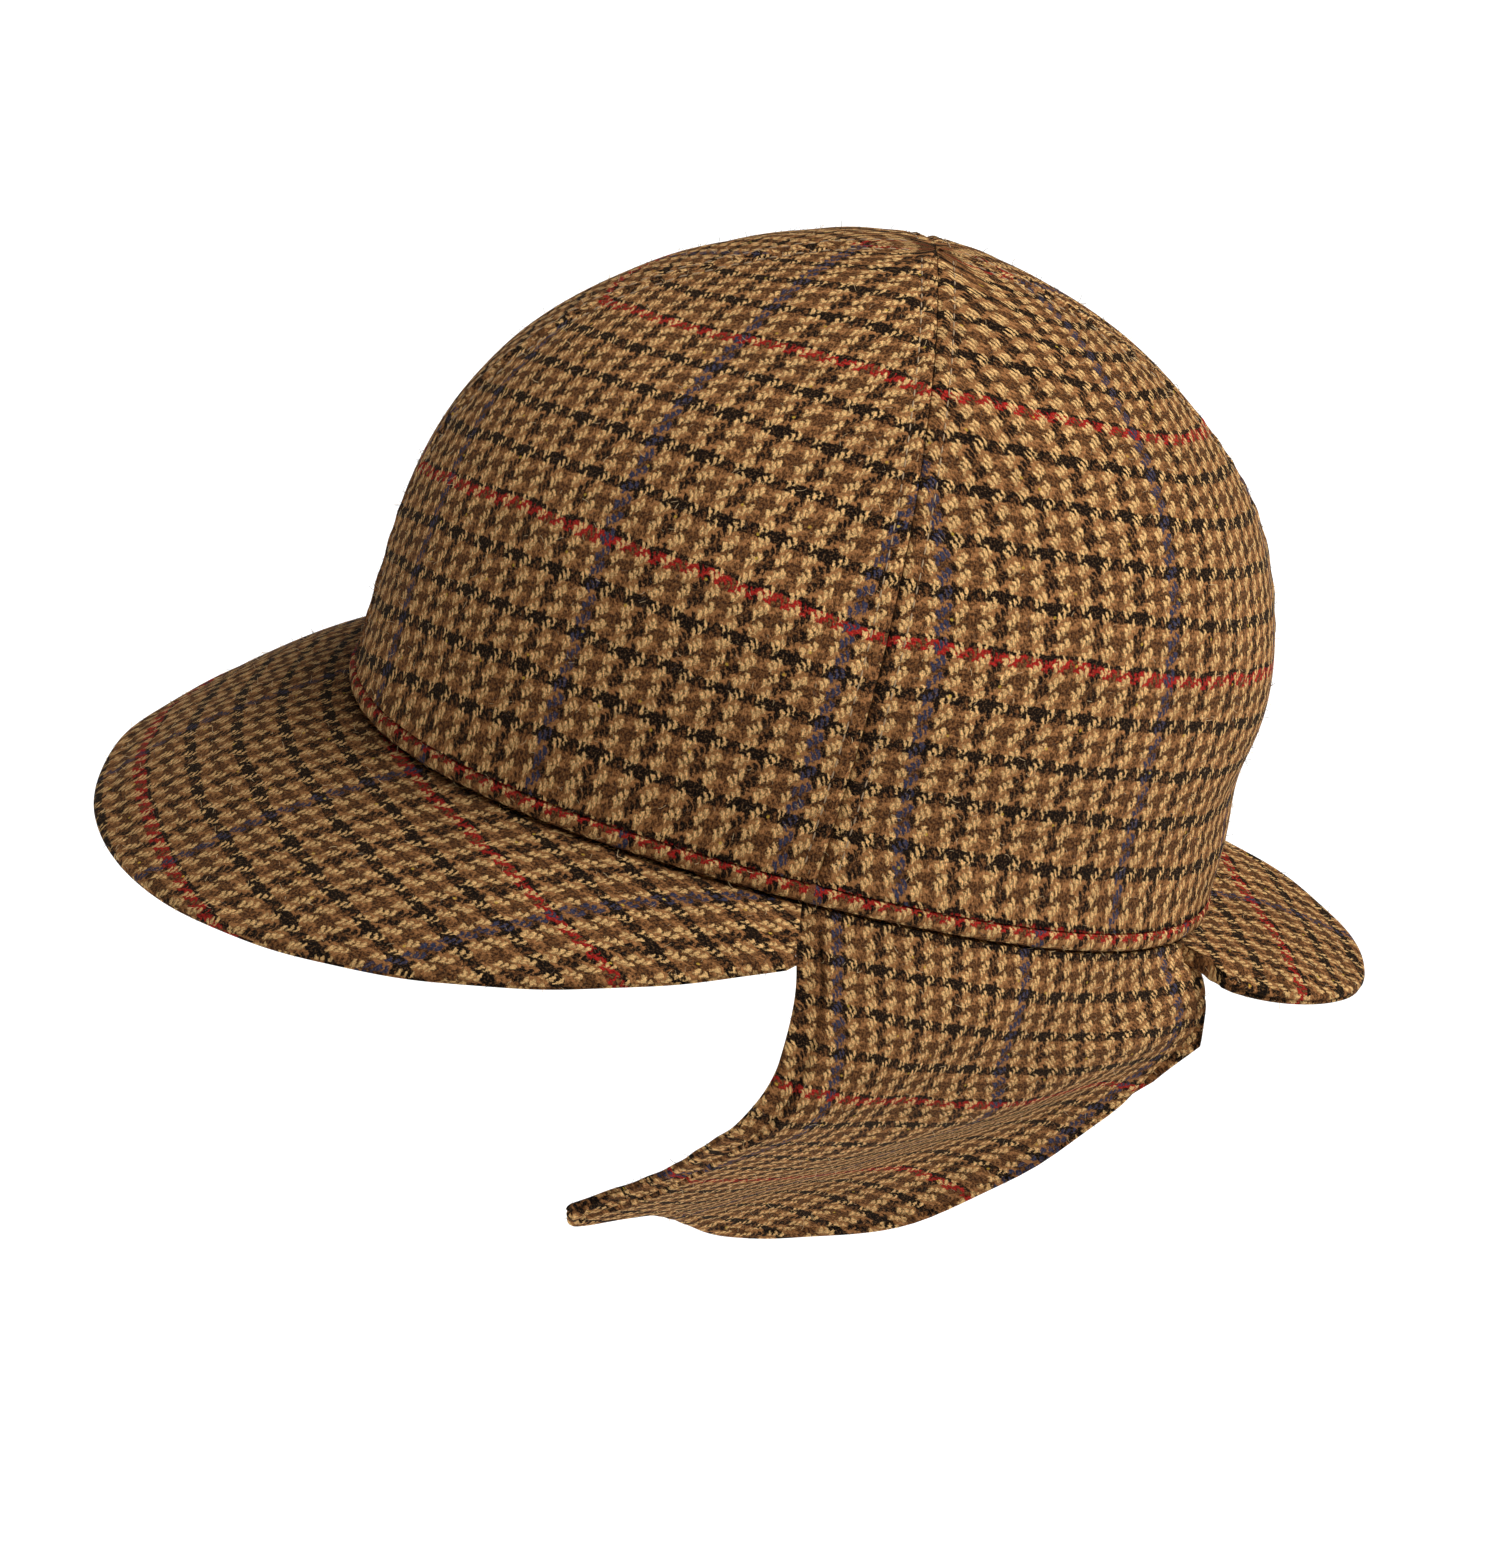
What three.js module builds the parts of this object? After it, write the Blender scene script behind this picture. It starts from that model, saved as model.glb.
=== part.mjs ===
// Deerstalker hat: a four-panel tweed crown, a rolled base, a peak in front and a
// smaller one behind, and a padded ear flap hanging at each side between the peaks.
// Millimetres, +Z up. The wearer looks along -Y, and the wearer's left is +X.
// The origin is the middle of the head opening, in the plane through the front and
// back ends of the seam that joins the crown to the peaks.
import * as THREE from 'three';

// Driving dimensions
const headLength = 209.4;      // outside of the crown at the seam, front to back
const headWidth = 175.8;       // outside of the crown at the seam, side to side
const crownHeight = 137.6;     // seam plane to the outside of the apex
const wallHeight = 34.2;       // upright part of the crown, below the dome
const sideArch = 9;            // how far the seam arches up over each ear
const crownWall = 2.2;         // one layer of tweed with its backing
const gap = 0.3;               // left between neighbouring pieces
const apexSetback = 3;         // the apex lies this far in front of the middle
const apexHole = 0.9;          // half-width of the point where the four seams meet

const rollHeight = 5;          // rolled and stitched base of the crown
const rollProud = 0.8;         // the roll stands this far out of the crown
const rollDepth = 4.2;         // thickness of the roll, outside to inside
const rollSquareness = 0.6;    // 1 gives an elliptical section, less a squarer one

const peakThickness = 4.2;     // two layers of tweed over a stiffener
const frontPeakDepth = 67;     // seam to edge, at the middle of the front
const frontPeakEnd = 19.3;     // seam to edge, where the peak ends at the ears
const frontPeakDroop = 40.6;   // degrees below level, in the middle
const frontPeakEndDroop = 25.3;
const frontPeakCamber = 3;     // the peak arches up this far between seam and edge
const rearPeakDepth = 42.2;
const rearPeakEnd = 17.8;
const rearPeakDroop = 7.5;
const rearPeakEndDroop = 9.1;
const rearPeakCamber = 2;

const earTurn = -0.8;          // degrees round the seam from the ear to the front peak
const napeTurn = 64.7;         // degrees round the seam to the start of the rear peak
const flapThickness = 4.6;     // two layers of tweed over padding
const flapLength = 160;        // longest run of the cloth, seam to tip
const flapEdgeBow = 0.042;     // the front edge bows forwards, as a share of flapLength
const flapEdgeDraw = 0.135;    // and draws back by this share at the tip
const flapNapeGap = 2.4;       // left between a flap's rear edge and the rear peak
const edgeRound = 0.3;         // free edges stand out by this share of their thickness

// How full each end of the dome is: larger numbers are squarer in profile
const frontDome = { rise: 2.27, spread: 1.45 };
const backDome = { rise: 2.63, spread: 1.76 };

// Soft dents in the cloth. Turn is in degrees round the crown, rise is a share of the
// crown's height, and depth is a share of its width.
const crownDents = [
  { turn: -52, turnSpread: 24, rise: 0.80, riseSpread: 0.10, depth: 0.014 },
  { turn: 78, turnSpread: 20, rise: 0.20, riseSpread: 0.10, depth: 0.010 },
];

// Where the free edge of a flap runs: share of the seam arc against share of length
const flapHem = [
  { along: 0.00, length: 0.890 },
  { along: 0.10, length: 0.872 },
  { along: 0.21, length: 0.920 },
  { along: 0.37, length: 0.925 },
  { along: 0.52, length: 0.975 },
  { along: 0.72, length: 0.965 },
  { along: 0.86, length: 0.780 },
  { along: 1.00, length: 0.160 },
];

// How each flap hangs. The cloth starts out along "hang" and turns to "sweep" over the
// run "turning", which starts at "turnsAt" less "lag" times the run along the seam. The
// billow pushes the cloth along its own direction part of the way down. Both directions
// are for the front edge and give way to "hangRear" and "sweepRear" at the rear edge: a
// short vector there weighs little until the edge is near. They are for the left flap,
// and the right one is mirrored. Runs are shares of flapLength.
const leftFlap = {
  hang: [0.113, 0.288, -0.951],
  hangRear: [0.113, 0.288, -0.951],
  sweep: [-0.437, -0.660, -0.624],
  sweepRear: [-0.014, 0.003, -0.098],
  turnsAt: 0.154,
  lag: 0.441,
  turning: 0.287,
  billow: [0.205, 0.935, 0.290],
  billowSize: 0.76,
  billowAt: 0.454,
  billowLag: 0.591,
  billowRun: 0.084,
};
const rightFlap = {
  hang: [0.260, 0.520, -0.760],
  hangRear: [0.420, -0.134, -0.865],
  sweep: [-0.826, 0.126, -0.523],
  sweepRear: [-0.827, -0.307, -0.484],
  turnsAt: 0.334,
  lag: 0.202,
  turning: 0.356,
  billow: [0, 0, 0],
  billowSize: 0,
  billowAt: 0.5,
  billowLag: 0,
  billowRun: 0.1,
};

// Faces across each piece
const panelSteps = { round: 11, up: 12 };
const rollSteps = { round: 64, section: 8 };
const frontPeakSteps = { round: 30, out: 5 };
const rearPeakSteps = { round: 12, out: 4 };
const flapSteps = { along: 16, down: 22 };
const clothStep = 3;           // run of cloth followed at a time
const probe = 0.002;           // step used to find a surface's direction

const tweedBrown = 0x7d5c3a;
const tweedDark = 0x6a4d30;

const degrees = Math.PI / 180;
const halfLength = headLength / 2;
const halfWidth = headWidth / 2;
const foot = (rollHeight + gap) / crownHeight;
const wallShare = wallHeight / crownHeight;

function smooth(value) {
  const s = Math.min(Math.max(value, 0), 1);
  return s * s * (3 - 2 * s);
}

function bell(offset, spread) {
  return Math.exp(-((offset / spread) ** 2));
}

// The seam between the crown and the peaks, at an angle round the head from +X
function seamPoint(angle) {
  return new THREE.Vector3(
    halfWidth * Math.cos(angle),
    halfLength * Math.sin(angle),
    sideArch * Math.cos(angle) ** 2,
  );
}

function seamOutward(angle) {
  return new THREE.Vector3(Math.cos(angle) / halfWidth, Math.sin(angle) / halfLength, 0).normalize();
}

// Reach of the crown at a height, as a share of its reach at the seam
function domeReach(rise, dome) {
  const u = Math.min(Math.max((rise - wallShare) / (1 - wallShare), 0), 1);
  return Math.max(1 - u ** dome.rise, 0) ** (1 / dome.spread);
}

function crownPoint(angle, rise) {
  const backShare = (Math.sin(angle) + 1) / 2;
  let reach = domeReach(rise, frontDome) * (1 - backShare) + domeReach(rise, backDome) * backShare;
  for (const dent of crownDents) {
    const around = Math.atan2(
      Math.sin(angle - dent.turn * degrees),
      Math.cos(angle - dent.turn * degrees),
    );
    const share = bell(around, dent.turnSpread * degrees) * bell(rise - dent.rise, dent.riseSpread);
    reach -= 2 * dent.depth * share * Math.min(reach, 1);
  }
  return new THREE.Vector3(
    halfWidth * Math.cos(angle) * reach,
    halfLength * Math.sin(angle) * reach - apexSetback * rise ** 2,
    seamPoint(angle).z * Math.min((1 - rise) / (1 - foot), 1) + crownHeight * rise,
  );
}

// Normal of a surface given as a function of two parameters, pointing outwards
function surfaceNormal(surface, u, v) {
  const alongU = surface(u + probe, v).sub(surface(u - probe, v));
  const alongV = surface(u, v + probe).sub(surface(u, v - probe));
  return alongU.cross(alongV).normalize();
}

// A closed body from its points and triangles, turned so that its faces look outwards
function geometryFrom(points, triangles) {
  const positions = new Float32Array(points.length * 3);
  points.forEach((point, index) => positions.set([point.x, point.y, point.z], index * 3));
  let volume = 0;
  for (const [a, b, c] of triangles) {
    volume += points[a].dot(points[b].clone().cross(points[c]));
  }
  const ordered = volume > 0 ? triangles : triangles.map(([a, b, c]) => [a, c, b]);
  const geometry = new THREE.BufferGeometry();
  geometry.setAttribute('position', new THREE.BufferAttribute(positions, 3));
  geometry.setIndex(ordered.flat());
  geometry.computeVertexNormals();
  return geometry;
}

// Sheet of cloth with a thickness: two grids of points and a rim round their edge,
// whose ridge stands out by "rim" so that the edge is rounded over.
function sheet(outer, inner, rim) {
  const rows = outer.length;
  const columns = outer[0].length;
  const points = [...outer.flat(), ...inner.flat()];
  const outerAt = (i, j) => i * columns + j;
  const innerAt = (i, j) => (rows + i) * columns + j;
  const triangles = [];
  const quad = (a, b, c, d) => triangles.push([a, b, c], [a, c, d]);
  for (let i = 0; i < rows - 1; i += 1) {
    for (let j = 0; j < columns - 1; j += 1) {
      quad(outerAt(i, j), outerAt(i + 1, j), outerAt(i + 1, j + 1), outerAt(i, j + 1));
      quad(innerAt(i, j), innerAt(i, j + 1), innerAt(i + 1, j + 1), innerAt(i + 1, j));
    }
  }
  const loop = [];
  for (let j = 0; j < columns - 1; j += 1) loop.push([0, j, 1, 0]);
  for (let i = 0; i < rows - 1; i += 1) loop.push([i, columns - 1, 0, -1]);
  for (let j = columns - 1; j > 0; j -= 1) loop.push([rows - 1, j, -1, 0]);
  for (let i = rows - 1; i > 0; i -= 1) loop.push([i, 0, 0, 1]);
  const ridge = loop.map(([i, j, inI, inJ]) => {
    const middle = outer[i][j].clone().add(inner[i][j]).multiplyScalar(0.5);
    const inwards = outer[i + inI][j + inJ].clone().sub(outer[i][j]).normalize();
    return middle.addScaledVector(inwards, -rim(i, j));
  });
  const first = points.length;
  points.push(...ridge);
  loop.forEach(([i, j], k) => {
    const [nextI, nextJ] = loop[(k + 1) % loop.length];
    const here = first + k;
    const next = first + ((k + 1) % loop.length);
    quad(outerAt(i, j), outerAt(nextI, nextJ), next, here);
    quad(here, next, innerAt(nextI, nextJ), innerAt(i, j));
  });
  return geometryFrom(points, triangles);
}

function piece(name, geometry, colour) {
  const material = new THREE.MeshStandardMaterial({ color: colour, roughness: 0.95, metalness: 0 });
  const mesh = new THREE.Mesh(geometry, material);
  mesh.name = name;
  return mesh;
}

// One quarter of the crown, between two seams. The inner face is set in along the
// normals of the seams themselves, so that neighbours keep their gap all the way in.
function crownPanel(fromTurn) {
  const from = fromTurn * degrees;
  const quarter = Math.PI / 2;
  const apexReach = (apexHole / halfWidth) ** backDome.spread;
  const top = wallShare + (1 - wallShare) * (1 - apexReach) ** (1 / backDome.rise);
  const outer = [];
  const inner = [];
  for (let i = 0; i <= panelSteps.up; i += 1) {
    const rise = foot + (top - foot) * Math.sin((i / panelSteps.up) * quarter);
    const reach = Math.abs(crownPoint(from + quarter / 2, rise).x) / Math.SQRT1_2;
    const clear = gap / 2 / reach;
    outer.push([]);
    inner.push([]);
    for (let j = 0; j <= panelSteps.round; j += 1) {
      const u = j / panelSteps.round;
      const point = crownPoint(from + clear + (quarter - 2 * clear) * u, rise);
      const normal = surfaceNormal(crownPoint, from + quarter * u, Math.min(rise, top - probe));
      if (i === 0) normal.setZ(0).normalize();
      outer[i].push(point);
      inner[i].push(point.clone().addScaledVector(normal, -crownWall));
    }
  }
  return sheet(outer, inner, () => 0);
}

// The rolled base: a closed ring of rounded section under the crown
function baseRoll() {
  const points = [];
  const triangles = [];
  const { round, section } = rollSteps;
  const square = (value) => Math.sign(value) * Math.abs(value) ** rollSquareness;
  for (let i = 0; i < round; i += 1) {
    const angle = (i / round) * 2 * Math.PI;
    const outward = seamOutward(angle);
    const centre = seamPoint(angle)
      .addScaledVector(outward, rollProud - rollDepth / 2)
      .add(new THREE.Vector3(0, 0, rollHeight / 2));
    for (let j = 0; j < section; j += 1) {
      const turn = ((j + 0.5) / section) * 2 * Math.PI;
      points.push(centre.clone()
        .addScaledVector(outward, square(Math.cos(turn)) * rollDepth / 2)
        .add(new THREE.Vector3(0, 0, square(Math.sin(turn)) * rollHeight / 2)));
    }
  }
  for (let i = 0; i < round; i += 1) {
    for (let j = 0; j < section; j += 1) {
      const a = i * section + j;
      const b = ((i + 1) % round) * section + j;
      const c = ((i + 1) % round) * section + ((j + 1) % section);
      const d = i * section + ((j + 1) % section);
      triangles.push([a, b, c], [a, c, d]);
    }
  }
  return geometryFrom(points, triangles);
}

// A peak: a stiff crescent that leaves the seam under the roll and droops outwards
function peak(shape, steps) {
  const clear = (gap / halfWidth) / degrees;
  const from = shape.from + clear;
  const to = shape.to - clear;
  const middle = (shape.from + shape.to) / 2;
  const root = rollDepth - rollProud;
  const surface = (u, v) => {
    const turn = from + (to - from) * u;
    const angle = turn * degrees;
    const across = Math.min(Math.abs((turn - middle) / ((shape.to - shape.from) / 2)), 1);
    const fullness = 1 - across ** 2;
    const depth = shape.end + (shape.depth - shape.end) * fullness ** shape.taper;
    const droop = (shape.endDroop + (shape.droop - shape.endDroop) * fullness) * degrees;
    const run = Math.max(v, 0) * depth;
    const arch = shape.camber * Math.sin(Math.PI * Math.max(v, 0)) * (depth / shape.depth);
    const outward = seamOutward(angle);
    return seamPoint(angle)
      .addScaledVector(outward, run * Math.cos(droop) + Math.min(v, 0) * root)
      .add(new THREE.Vector3(0, 0, arch - gap - run * Math.sin(droop)));
  };
  const outer = [];
  const inner = [];
  for (let i = -1; i <= steps.out; i += 1) {
    const v = i / (i < 0 ? 1 : steps.out);
    outer.push([]);
    inner.push([]);
    for (let j = 0; j <= steps.round; j += 1) {
      const u = j / steps.round;
      const point = surface(u, v);
      const normal = surfaceNormal(surface, u, Math.max(v, probe));
      if (normal.z < 0) normal.negate();
      const straight = i < 0 ? new THREE.Vector3(0, 0, 1) : normal;
      const meets = seamOutward((from + (to - from) * u) * degrees);
      const tangent = new THREE.Vector3(-meets.y, meets.x, 0);
      straight.addScaledVector(tangent, -straight.dot(tangent)).normalize();
      outer[i + 1].push(point);
      inner[i + 1].push(point.clone().addScaledVector(straight, -peakThickness));
    }
  }
  return sheet(outer, inner, (i) => (i === steps.out + 1 ? peakThickness * edgeRound : 0));
}

// Runs along the seam between the ear and the nape, against turns round it
function seamRuns() {
  const count = 240;
  const table = [{ turn: earTurn, run: 0 }];
  for (let i = 1; i <= count; i += 1) {
    const turn = earTurn + ((napeTurn - earTurn) * i) / count;
    const last = table[i - 1];
    const step = seamPoint(turn * degrees).distanceTo(seamPoint(last.turn * degrees));
    table.push({ turn, run: last.run + step });
  }
  return table;
}

// Smooth curve through the rows of a table, which runs straight on past both its ends
function through(table, from, to, value) {
  const last = table.length - 1;
  const slope = (i) => {
    const [before, after] = [table[Math.max(i - 1, 0)], table[Math.min(i + 1, last)]];
    return (after[to] - before[to]) / (after[from] - before[from]);
  };
  if (value <= table[0][from]) return table[0][to] + slope(0) * (value - table[0][from]);
  if (value >= table[last][from]) return table[last][to] + slope(last) * (value - table[last][from]);
  const i = table.findIndex((row) => row[from] > value) - 1;
  const span = table[i + 1][from] - table[i][from];
  const s = (value - table[i][from]) / span;
  const ends = table[i][to] + (table[i + 1][to] - table[i][to]) * smooth(s);
  const leaving = slope(i) * s * (1 - s) ** 2;
  const arriving = slope(i + 1) * s * s * (1 - s);
  return ends + span * (leaving - arriving);
}

// Where the cloth of a flap lies, followed down from the seam. "along" is the run along
// the seam from the ear, and "down" the run of cloth below it.
function clothPoint(hangs, table, along, down) {
  const turn = through(table, 'run', 'turn', along);
  const point = seamPoint(turn * degrees).add(new THREE.Vector3(0, 0, -gap));
  const rearShare = Math.min(Math.max(along / table[table.length - 1].run, 0), 1);
  const between = (front, rear) => new THREE.Vector3(...front).lerp(new THREE.Vector3(...rear), rearShare);
  const hang = between(hangs.hang, hangs.hangRear).normalize();
  const sweep = between(hangs.sweep, hangs.sweepRear).normalize();
  const billow = new THREE.Vector3(...hangs.billow);
  const steps = Math.ceil(down / clothStep);
  const share = along / flapLength;
  for (let k = 0; k < steps; k += 1) {
    const run = ((k + 0.5) / steps) * (down / flapLength);
    const turned = smooth((run - hangs.turnsAt + hangs.lag * share) / hangs.turning);
    const pushed = hangs.billowSize * bell(run - hangs.billowAt + hangs.billowLag * share, hangs.billowRun);
    const direction = hang.clone().lerp(sweep, turned).addScaledVector(billow, pushed).normalize();
    point.addScaledVector(direction, down / steps);
  }
  return point;
}

// An ear flap: rows of cloth points, and the same set in by the thickness
function earFlap(hangs, side) {
  const table = seamRuns();
  const arc = table[table.length - 1].run - 2 * gap - flapNapeGap;
  const rows = [];
  for (let i = 0; i <= flapSteps.down; i += 1) {
    rows.push([]);
    for (let j = 0; j <= flapSteps.along; j += 1) {
      const share = j / flapSteps.along;
      const down = flapLength * through(flapHem, 'along', 'length', share) * (i / flapSteps.down);
      const s = down / flapLength;
      const front = flapLength * (flapEdgeDraw * s * s - flapEdgeBow * Math.sin(Math.PI * s));
      rows[i].push(clothPoint(hangs, table, 2 * gap + arc * share + front * (1 - share), down));
    }
  }
  const outer = [];
  const inner = [];
  rows.forEach((row, i) => {
    outer.push([]);
    inner.push([]);
    row.forEach((point, j) => {
      const down = rows[Math.min(i + 1, flapSteps.down)][j].clone().sub(rows[Math.max(i - 1, 0)][j]);
      const along = row[Math.min(j + 1, flapSteps.along)].clone().sub(row[Math.max(j - 1, 0)]);
      const normal = down.cross(along);
      if (i === 0) normal.z = 0;
      const under = point.clone().addScaledVector(normal.normalize(), -flapThickness);
      outer[i].push(new THREE.Vector3(point.x * side, point.y, point.z));
      inner[i].push(new THREE.Vector3(under.x * side, under.y, under.z));
    });
  });
  return sheet(outer, inner, (i) => (i === flapSteps.down ? flapThickness * edgeRound : 0));
}

const hat = new THREE.Group();

const crown = new THREE.Group();
crown.add(piece('crown_front_left', crownPanel(-90), tweedBrown));
crown.add(piece('crown_rear_left', crownPanel(0), tweedBrown));
crown.add(piece('crown_rear_right', crownPanel(90), tweedBrown));
crown.add(piece('crown_front_right', crownPanel(180), tweedBrown));
crown.add(piece('base_roll', baseRoll(), tweedDark));
hat.add(crown);

const frontShape = {
  from: -180 - earTurn,
  to: earTurn,
  depth: frontPeakDepth,
  end: frontPeakEnd,
  droop: frontPeakDroop,
  endDroop: frontPeakEndDroop,
  camber: frontPeakCamber,
  taper: 1.02,
};
const rearShape = {
  from: napeTurn,
  to: 180 - napeTurn,
  depth: rearPeakDepth,
  end: rearPeakEnd,
  droop: rearPeakDroop,
  endDroop: rearPeakEndDroop,
  camber: rearPeakCamber,
  taper: 0.93,
};
hat.add(piece('front_peak', peak(frontShape, frontPeakSteps), tweedBrown));
hat.add(piece('rear_peak', peak(rearShape, rearPeakSteps), tweedBrown));

hat.add(piece('ear_flap_left', earFlap(leftFlap, 1), tweedBrown));
hat.add(piece('ear_flap_right', earFlap(rightFlap, -1), tweedBrown));

export default hat;
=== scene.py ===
import math

import bpy
import numpy as np
from mathutils import Matrix, Vector


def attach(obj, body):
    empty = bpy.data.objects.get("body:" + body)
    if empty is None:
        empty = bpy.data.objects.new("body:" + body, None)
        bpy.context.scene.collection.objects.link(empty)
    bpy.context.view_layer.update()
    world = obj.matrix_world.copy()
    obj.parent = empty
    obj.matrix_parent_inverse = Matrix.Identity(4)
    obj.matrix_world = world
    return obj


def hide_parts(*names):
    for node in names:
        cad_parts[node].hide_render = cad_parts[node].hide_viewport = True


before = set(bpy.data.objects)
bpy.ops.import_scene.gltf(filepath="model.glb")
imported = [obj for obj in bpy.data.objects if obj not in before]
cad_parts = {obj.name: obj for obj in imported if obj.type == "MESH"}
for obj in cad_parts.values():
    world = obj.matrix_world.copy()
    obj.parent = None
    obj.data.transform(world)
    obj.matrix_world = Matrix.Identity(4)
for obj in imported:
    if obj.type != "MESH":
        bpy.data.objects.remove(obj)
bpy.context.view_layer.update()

# Camera: a long lens a little above and behind the wearer's left ear. The photograph
# is tipped, so the camera rolls until the hat's up axis leans to the right.
image_width, image_height = 1500, 1560
camera_distance = 1.64
camera_azimuth = math.radians(80.55)
camera_elevation = math.radians(21.6)
camera_roll = math.radians(17.57)
pixels_per_metre = 4240
optical_axis = (780.17, 785.75)

towards_camera = Vector((
    math.sin(camera_azimuth) * math.cos(camera_elevation),
    -math.cos(camera_azimuth) * math.cos(camera_elevation),
    math.sin(camera_elevation),
))
camera_data = bpy.data.cameras.new("camera")
camera = bpy.data.objects.new("camera", camera_data)
bpy.context.collection.objects.link(camera)
turn = towards_camera.to_track_quat("Z", "Y").to_matrix().to_4x4()
camera.matrix_world = (
    Matrix.Translation(towards_camera * camera_distance) @ turn @ Matrix.Rotation(camera_roll, 4, "Z")
)
camera_data.sensor_fit = "HORIZONTAL"
camera_data.sensor_width = 36
camera_data.lens = 36 * pixels_per_metre * camera_distance / image_width
camera_data.shift_x = (image_width / 2 - optical_axis[0]) / image_width
camera_data.shift_y = (optical_axis[1] - image_height / 2) / image_width
camera_data.clip_end = 50
bpy.context.scene.camera = camera

# Studio: a pale floor well below the hat, which nothing stands on, and soft white
# light from the camera's right and above, with a pale fill all round.
floor_height = -0.62
floor_mesh = bpy.data.meshes.new("floor")
floor_mesh.from_pydata(
    [(-9, -9, floor_height), (9, -9, floor_height), (9, 9, floor_height), (-9, 9, floor_height)],
    [],
    [(0, 1, 2, 3)],
)
floor = bpy.data.objects.new("floor", floor_mesh)
bpy.context.collection.objects.link(floor)
floor_material = bpy.data.materials.new("floor_paper")
floor_material.use_nodes = True
floor_shader = floor_material.node_tree.nodes["Principled BSDF"]
floor_shader.inputs["Base Color"].default_value = (0.93, 0.93, 0.93, 1)
floor_shader.inputs["Roughness"].default_value = 0.95
floor_mesh.materials.append(floor_material)

world = bpy.data.worlds.new("studio")
bpy.context.scene.world = world
world.use_nodes = True
world.node_tree.nodes["Background"].inputs["Color"].default_value = (1, 1, 1, 1)
world.node_tree.nodes["Background"].inputs["Strength"].default_value = 0.10
bpy.context.scene.view_settings.view_transform = "Standard"

key_light = bpy.data.lights.new("key_light", "SUN")
key_light.energy = 4.5
key_light.angle = math.radians(38)
key = bpy.data.objects.new("key_light", key_light)
bpy.context.collection.objects.link(key)
key.rotation_euler = Vector((0.18, 0.34, 0.92)).to_track_quat("Z", "Y").to_euler()

# Crown: four gores of wool tweed, sewn edge to edge with the seams pressed open and
# topstitched on both sides. It is soft cloth, held up from inside, with slight dents.
crown_half_length = 104.7
crown_half_width = 87.9
crown_height = 137.6
crown_wall = 34.2
crown_cloth = 2.2
crown_mean_radius = 97
crown_top_share = 0.9998
side_arch = 9.0
apex_setback = 3.0
roll_height = 5.0
piece_gap = 0.3
seam_gap = 0.16
front_dome = {"rise": 2.27, "spread": 1.45}
back_dome = {"rise": 2.63, "spread": 1.76}
warp_pitch = 0.945
weft_pitch = 0.99
seam_allowance = 3.6


def smooth(value):
    s = np.clip(value, 0, 1)
    return s * s * (3 - 2 * s)


def bell(offset, spread):
    return np.exp(-((offset / spread) ** 2))


def crowded(shares, amount):
    """Shares from 0 to 1 with narrower steps towards both ends."""
    return shares - amount * np.sin(2 * np.pi * shares) / (2 * np.pi)


def seam_point(angle):
    """Places on the seam between crown and peaks, at angles from the wearer's left."""
    return np.stack([
        crown_half_width * np.cos(angle),
        crown_half_length * np.sin(angle),
        side_arch * np.cos(angle) ** 2,
    ], axis=-1)


def seam_outward(angle):
    way = np.stack([
        np.cos(angle) / crown_half_width,
        np.sin(angle) / crown_half_length,
        0 * angle,
    ], axis=-1)
    return way / np.linalg.norm(way, axis=-1, keepdims=True)


def dome_reach(rise, dome):
    share = crown_wall / crown_height
    u = np.clip((rise - share) / (1 - share), 0, 1)
    return np.maximum(1 - u ** dome["rise"], 0) ** (1 / dome["spread"])


def crown_reach(angle, rise):
    back = (np.sin(angle) + 1) / 2
    return dome_reach(rise, front_dome) * (1 - back) + dome_reach(rise, back_dome) * back


def crown_point(angle, rise):
    foot = (roll_height + piece_gap) / crown_height
    reach = crown_reach(angle, rise)
    return np.stack([
        crown_half_width * np.cos(angle) * reach,
        crown_half_length * np.sin(angle) * reach - apex_setback * rise ** 2,
        side_arch * np.cos(angle) ** 2 * np.minimum((1 - rise) / (1 - foot), 1) + crown_height * rise,
    ], axis=-1)


def grid_normals(grid):
    """Unit normals of a grid of places, pointing along rows cross columns."""
    down = np.gradient(grid, axis=0)
    along = np.gradient(grid, axis=1)
    normals = np.cross(down, along)
    return normals / np.maximum(np.linalg.norm(normals, axis=-1, keepdims=True), 1e-9)


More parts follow.
